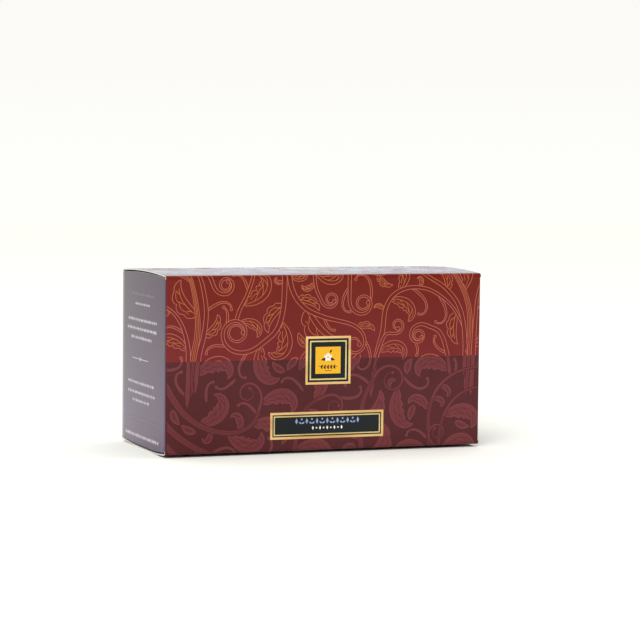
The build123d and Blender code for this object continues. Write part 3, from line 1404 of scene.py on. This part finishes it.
def badge_parts(middle):
    flower = middle + complex(-0.1, 1.3)
    petals = [petal(flower, 90 + 72 * k, 2.0, 0.72) for k in range(5)]
    leaves = [petal(flower - 0.5j, -168, 3.3, 0.62), petal(flower - 0.5j, -12, 3.3, 0.62),
              petal(flower + complex(0.9, 1.9), 62, 1.7, 0.42)]
    heart = [disc(flower, 0.5)]
    twig, headings = sweep(middle + complex(-4.4, -2.6), -14, 9.0, 5, -2, 1.0, 0.3)
    spray = [ribbon(twig, 0.22)]
    for k in range(3, 28, 5):
        spray += [petal(twig[k], headings[k] + spread, 1.35, 0.32) for spread in (42, -42)]
    spray.append(bar(middle.real - 1.6, middle.imag - 4.8, middle.real + 1.7, middle.imag - 4.55))
    return {"field": [bar(*box_round(middle, badge_half - 0.5, badge_half - 0.5))],
            "foil": frame_bars(middle, badge_half, badge_half, badge_frame),
            "line": frame_bars(middle, badge_half - badge_gap, badge_half - badge_gap, badge_line),
            "yellow": [bar(*box_round(middle + complex(-0.1, 0), yellow_half, yellow_half))],
            "petals": petals, "heart": heart, "leaves": leaves + spray}


def plate_parts(middle):
    upper, lower = [], []
    for k in range(-6, 7):
        spot = middle + complex(2.42 * k, 1.85)
        if k % 2:
            upper += leaf_pair(spot - 1.1j, 1.5)
            upper.append(disc(spot + 0.85j, 0.42))
        else:
            upper.append(lozenge(spot, 0.62, 1.35))
    for k in range(-4, 5):
        spot = middle + complex(1.7 * k, -1.25)
        lower.append(disc(spot, 0.36) if k % 2 else lozenge(spot, 0.48, 0.9))
    return {"field": [bar(*box_round(middle, plate_half.real - 0.5, plate_half.imag - 0.5))],
            "foil": frame_bars(middle, plate_half.real, plate_half.imag, plate_frame),
            "line": frame_bars(middle, plate_half.real - plate_gap, plate_half.imag - plate_gap, plate_line),
            "periwinkle": upper, "cream": lower}


# %% Lay the badges and the nameplates
label_inks = {"field": (0.012, plate_ink, "label_ink"), "foil": (0.03, gold_foil, "gold_foil"),
              "line": (0.02, pale_foil, "gold_foil"), "yellow": (0.018, yellow_ink, "yellow_ink"),
              "leaves": (0.023, dark_ink, "label_ink"), "petals": (0.026, pale_ink, "pale_ink"),
              "heart": (0.029, yellow_ink, "yellow_ink"), "periwinkle": (0.02, periwinkle_ink, "pale_ink"),
              "cream": (0.02, pale_ink, "pale_ink")}


def turn_shape(shape):
    return tuple(turned(rail, top_middle) for rail in shape)


whole = (-reach, seam, reach, back_end)
front_badge = badge_parts(badge_middle)
back_badge = {part: [turn_shape(s) for s in shapes] for part, shapes in front_badge.items()}
labels = {"front": front_badge, "top": badge_parts(top_badge_middle), "back": back_badge}
for panel, parts in labels.items():
    for part, shapes in parts.items():
        lift, ink, slot = label_inks[part]
        film("badge_" + part + "_" + panel, shapes, on_skin, lift, ink, whole)
for panel in ("front", "back"):
    for part, shapes in plate_parts(plate_middle).items():
        lift, ink, slot = label_inks[part]
        if panel == "back":
            shapes = [turn_shape(s) for s in shapes]
        film("nameplate_" + part + "_" + panel, shapes, on_skin, lift, ink, whole)
print("badges", len(badges), "nameplates", len(plates))

# %% [markdown]
# ## Marks on the ends
# Each end carries small ornament where such a pack has its lines of print: a faint title with a short
# line under it, three lines, a rule with a lozenge, three more lines, a faint line, and a bold line at
# the bottom. They are rows of tiny lozenges in groups, so that from afar they look like fine print.
# They lie on the crowned face of the closure. On the end's own page, u runs to the right as one faces
# that end, and v is the height.

# %% Rows of lozenges
def on_end(side):
    """A way to lay a film on the closure at one end, 1 for the right and -1 for the left."""
    def place(u, v, lift):
        y = u * side * MM
        x, angle = on_crown(y, -lift * MM)
        return side * x / MM, y / MM, v
    return place


def beads(middle, width, v, height, half_width, dice):
    """A row of small lozenges in groups, where a line of print would be."""
    row, u = [], middle - width / 2
    while u < middle + width / 2 - half_width:
        for bead in range(dice.choice((2, 3, 4, 5, 6))):
            if u > middle + width / 2:
                break
            half_height = height * (0.58 if dice.random() < 0.3 else 0.46)
            row.append(lozenge(complex(u + half_width, v + height * 0.4), half_width, half_height))
            u += half_width * 2 + 0.08
        u += 0.85
    return row


# middle, width, height above the floor, bead height, half a bead's width
FAINT_ROWS = [(0, 33, 67.8, 2.3, 0.5), (0, 43, 12.1, 1.8, 0.42)]
PLAIN_ROWS = [(-0.8, 21.5, 63.9, 1.35, 0.3), (-1.2, 43, 56.6, 1.7, 0.34), (-1.8, 44.5, 52.6, 1.7, 0.34),
              (-2.4, 31, 48.6, 1.7, 0.34), (-3, 39.5, 28.4, 1.7, 0.34), (-2.6, 40.5, 24.0, 1.7, 0.34),
              (-3, 25, 20.4, 1.7, 0.34)]
BOLD_ROWS = [(-2, 50, 4.6, 2.0, 0.5)]
rule_v, rule_half, rule_middle = 39.7, 12.0, -3.6


end_ink = material("end_ink", inked(colour(184, 178, 188), colour(202, 197, 204), end_gloss, end_roughness))
faint_ink = material("faint_ink", inked(colour(92, 74, 96), colour(104, 86, 108), end_gloss, end_roughness))
end_window = (-32, 1, 32, 77)
for side, name in ((1, "right"), (-1, "left")):
    pen = random.Random(11)
    plain = [shape for numbers in PLAIN_ROWS for shape in beads(*numbers, pen)]
    plain += [shape for numbers in BOLD_ROWS for shape in beads(*numbers, pen)]
    plain.append(bar(rule_middle - rule_half, rule_v, rule_middle - 1.4, rule_v + 0.3))
    plain.append(bar(rule_middle + 1.4, rule_v, rule_middle + rule_half, rule_v + 0.3))
    plain.append(lozenge(complex(rule_middle, rule_v + 0.15), 0.95, 1.15))
    faint = [shape for numbers in FAINT_ROWS for shape in beads(*numbers, pen)]
    film("end_marks_" + name, plain, on_end(side), 0.02, end_ink, end_window)
    film("end_title_" + name, faint, on_end(side), 0.02, faint_ink, end_window)
    print("end marks", name, len(plain), len(faint))
